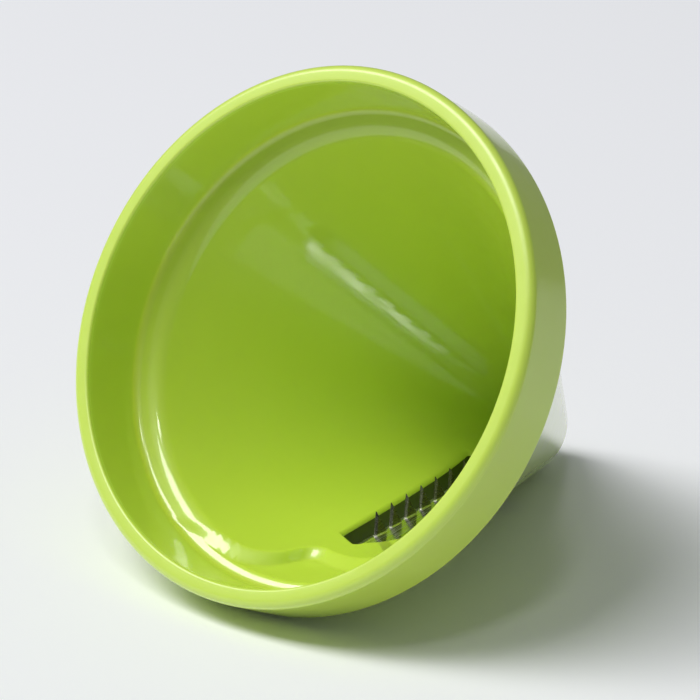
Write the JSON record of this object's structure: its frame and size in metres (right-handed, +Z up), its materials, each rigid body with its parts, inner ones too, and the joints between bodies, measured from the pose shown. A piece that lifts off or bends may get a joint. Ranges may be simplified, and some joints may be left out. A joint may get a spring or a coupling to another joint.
{
  "type": "hand-turned julienne funnel cutter",
  "caption": "Moulded plastic funnel with a toothed steel strip in a slot of its cone wall: a vegetable pushed in and turned by hand comes out as thin strips.",
  "frame": {"origin": "centre of the bounding box on the table plane that the funnel lies on", "axes": "+Z up; the funnel's axis lies in the YZ plane, its mouth faces -Y and upwards, its nose points to +Y; +X to the right seen from the mouth side"},
  "size_m": [0.0959, 0.0981, 0.0882],
  "materials": {
    "lime_plastic": "glossy",
    "blade_steel": "fine brushed"
  },
  "bodies": {
    "root": {"funnel_body": "lime_plastic", "julienne_blade": "blade_steel", "blade_rivets": "blade_steel"}
  },
  "joints": []
}
